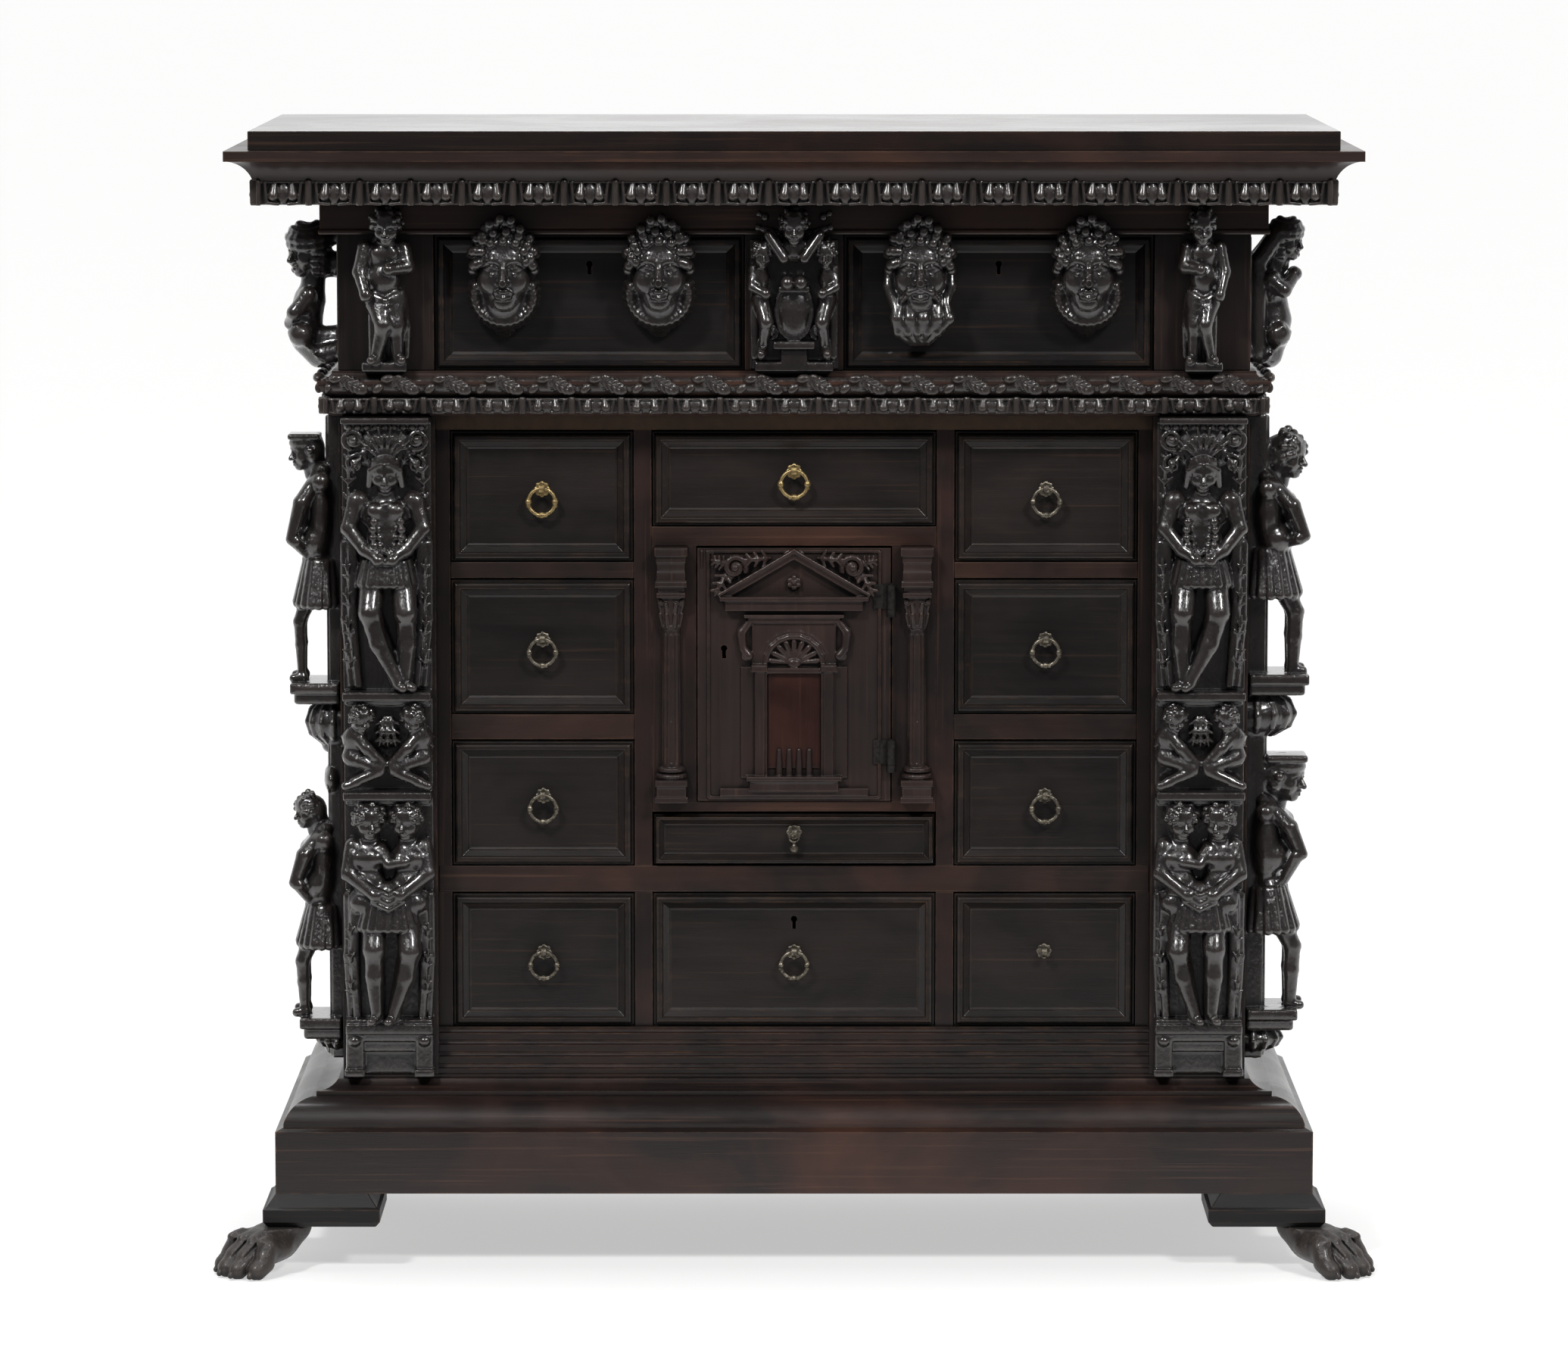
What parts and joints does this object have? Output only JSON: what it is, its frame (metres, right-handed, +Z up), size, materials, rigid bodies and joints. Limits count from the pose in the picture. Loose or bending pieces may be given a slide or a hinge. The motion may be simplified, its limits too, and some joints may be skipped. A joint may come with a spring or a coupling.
{
  "type": "carved table cabinet",
  "caption": "Carved dark walnut table cabinet on paw feet, with small drawers round a hinged door, figure-carved corner posts, mask pulls and a heavy cornice.",
  "frame": {"origin": "on the floor under the middle of the outer box", "axes": "+Z up, the front faces -Y, +X to the right as seen from the front"},
  "size_m": [1.04, 0.439, 1.02],
  "materials": {
    "dark_walnut": "dark waxed walnut, worn along the edges",
    "carved_walnut": "dark carved walnut, glossy on the high places",
    "inner_walnut": "plain walnut",
    "brass": "dull cast brass",
    "iron": "dark wrought iron"
  },
  "bodies": {
    "cabinet": {"top_board": "dark_walnut", "cornice": "dark_walnut", "frieze": "dark_walnut", "upper_posts": "dark_walnut", "frieze_carvings": "carved_walnut", "entablature": "dark_walnut", "corner_posts": "dark_walnut", "post_carvings": "carved_walnut", "side_carvings": "carved_walnut", "case_panels": "dark_walnut", "case_boards": "inner_walnut", "uprights": "dark_walnut", "rails": "dark_walnut", "door_columns": "dark_walnut", "base_moulding": "dark_walnut", "plinth": "dark_walnut", "foot_blocks": "dark_walnut", "paw_feet": "carved_walnut", "door_pintles": "iron"},
    "left_top_drawer": {"left_top_drawer": "dark_walnut", "left_top_staple": "brass"},
    "left_top_ring": {"left_top_ring": "brass"},
    "right_top_drawer": {"right_top_drawer": "dark_walnut", "right_top_staple": "brass"},
    "right_top_ring": {"right_top_ring": "brass"},
    "left_upper_drawer": {"left_upper_drawer": "dark_walnut", "left_upper_staple": "brass"},
    "left_upper_ring": {"left_upper_ring": "brass"},
    "right_upper_drawer": {"right_upper_drawer": "dark_walnut", "right_upper_staple": "brass"},
    "right_upper_ring": {"right_upper_ring": "brass"},
    "left_lower_drawer": {"left_lower_drawer": "dark_walnut", "left_lower_staple": "brass"},
    "left_lower_ring": {"left_lower_ring": "brass"},
    "right_lower_drawer": {"right_lower_drawer": "dark_walnut", "right_lower_staple": "brass"},
    "right_lower_ring": {"right_lower_ring": "brass"},
    "left_bottom_drawer": {"left_bottom_drawer": "dark_walnut", "left_bottom_staple": "brass"},
    "left_bottom_ring": {"left_bottom_ring": "brass"},
    "right_bottom_drawer": {"right_bottom_drawer": "dark_walnut", "right_bottom_staple": "brass"},
    "centre_top_drawer": {"centre_top_drawer": "dark_walnut", "centre_top_staple": "brass"},
    "centre_top_ring": {"centre_top_ring": "brass"},
    "under_door_drawer": {"under_door_drawer": "dark_walnut", "under_door_staple": "brass"},
    "under_door_drop": {"under_door_drop": "brass"},
    "centre_bottom_drawer": {"centre_bottom_drawer": "dark_walnut", "centre_bottom_staple": "brass"},
    "centre_bottom_ring": {"centre_bottom_ring": "brass"},
    "frieze_left_drawer": {"frieze_left_drawer": "dark_walnut", "frieze_left_lock": "iron", "frieze_left_masks": "carved_walnut"},
    "frieze_right_drawer": {"frieze_right_drawer": "dark_walnut", "frieze_right_lock": "iron", "frieze_right_masks": "carved_walnut"},
    "door": {"door_leaf": "dark_walnut", "door_relief": "dark_walnut", "door_ironwork": "iron"}
  },
  "joints": [
    {"name": "left_top_drawer_slide", "type": "slide", "parent": "cabinet", "child": "left_top_drawer", "axis": [0, -1, 0], "range_m": [0, 0.22]},
    {"name": "left_top_ring_swing", "type": "hinge", "parent": "left_top_drawer", "child": "left_top_ring", "pos_m": [-0.2265, -0.0865, 0.6965], "axis": [-1, 0, 0], "range_deg": [-10, 110]},
    {"name": "right_top_drawer_slide", "type": "slide", "parent": "cabinet", "child": "right_top_drawer", "axis": [0, -1, 0], "range_m": [0, 0.22]},
    {"name": "right_top_ring_swing", "type": "hinge", "parent": "right_top_drawer", "child": "right_top_ring", "pos_m": [0.2265, -0.0865, 0.6965], "axis": [-1, 0, 0], "range_deg": [-10, 110]},
    {"name": "left_upper_drawer_slide", "type": "slide", "parent": "cabinet", "child": "left_upper_drawer", "axis": [0, -1, 0], "range_m": [0, 0.22]},
    {"name": "left_upper_ring_swing", "type": "hinge", "parent": "left_upper_drawer", "child": "left_upper_ring", "pos_m": [-0.2265, -0.0865, 0.5605], "axis": [-1, 0, 0], "range_deg": [-10, 110]},
    {"name": "right_upper_drawer_slide", "type": "slide", "parent": "cabinet", "child": "right_upper_drawer", "axis": [0, -1, 0], "range_m": [0, 0.22]},
    {"name": "right_upper_ring_swing", "type": "hinge", "parent": "right_upper_drawer", "child": "right_upper_ring", "pos_m": [0.2265, -0.0865, 0.5605], "axis": [-1, 0, 0], "range_deg": [-10, 110]},
    {"name": "left_lower_drawer_slide", "type": "slide", "parent": "cabinet", "child": "left_lower_drawer", "axis": [0, -1, 0], "range_m": [0, 0.22]},
    {"name": "left_lower_ring_swing", "type": "hinge", "parent": "left_lower_drawer", "child": "left_lower_ring", "pos_m": [-0.2265, -0.0865, 0.4185], "axis": [-1, 0, 0], "range_deg": [-10, 110]},
    {"name": "right_lower_drawer_slide", "type": "slide", "parent": "cabinet", "child": "right_lower_drawer", "axis": [0, -1, 0], "range_m": [0, 0.22]},
    {"name": "right_lower_ring_swing", "type": "hinge", "parent": "right_lower_drawer", "child": "right_lower_ring", "pos_m": [0.2265, -0.0865, 0.4185], "axis": [-1, 0, 0], "range_deg": [-10, 110]},
    {"name": "left_bottom_drawer_slide", "type": "slide", "parent": "cabinet", "child": "left_bottom_drawer", "axis": [0, -1, 0], "range_m": [0, 0.22]},
    {"name": "left_bottom_ring_swing", "type": "hinge", "parent": "left_bottom_drawer", "child": "left_bottom_ring", "pos_m": [-0.2265, -0.0865, 0.2755], "axis": [-1, 0, 0], "range_deg": [-10, 110]},
    {"name": "right_bottom_drawer_slide", "type": "slide", "parent": "cabinet", "child": "right_bottom_drawer", "axis": [0, -1, 0], "range_m": [0, 0.22]},
    {"name": "centre_top_drawer_slide", "type": "slide", "parent": "cabinet", "child": "centre_top_drawer", "axis": [0, -1, 0], "range_m": [0, 0.22]},
    {"name": "centre_top_ring_swing", "type": "hinge", "parent": "centre_top_drawer", "child": "centre_top_ring", "pos_m": [0, -0.0865, 0.7125], "axis": [-1, 0, 0], "range_deg": [-10, 110]},
    {"name": "under_door_drawer_slide", "type": "slide", "parent": "cabinet", "child": "under_door_drawer", "axis": [0, -1, 0], "range_m": [0, 0.22]},
    {"name": "under_door_drop_swing", "type": "hinge", "parent": "under_door_drawer", "child": "under_door_drop", "pos_m": [0, -0.0865, 0.3845], "axis": [-1, 0, 0], "range_deg": [-10, 110]},
    {"name": "centre_bottom_drawer_slide", "type": "slide", "parent": "cabinet", "child": "centre_bottom_drawer", "axis": [0, -1, 0], "range_m": [0, 0.22]},
    {"name": "centre_bottom_ring_swing", "type": "hinge", "parent": "centre_bottom_drawer", "child": "centre_bottom_ring", "pos_m": [0, -0.0865, 0.2755], "axis": [-1, 0, 0], "range_deg": [-10, 110]},
    {"name": "frieze_left_drawer_slide", "type": "slide", "parent": "cabinet", "child": "frieze_left_drawer", "axis": [0, -1, 0], "range_m": [0, 0.22]},
    {"name": "frieze_right_drawer_slide", "type": "slide", "parent": "cabinet", "child": "frieze_right_drawer", "axis": [0, -1, 0], "range_m": [0, 0.22]},
    {"name": "door_swing", "type": "hinge", "parent": "cabinet", "child": "door", "pos_m": [0.0875, -0.0884, 0.413], "axis": [0, 0, 1], "range_deg": [0, 95]}
  ]
}
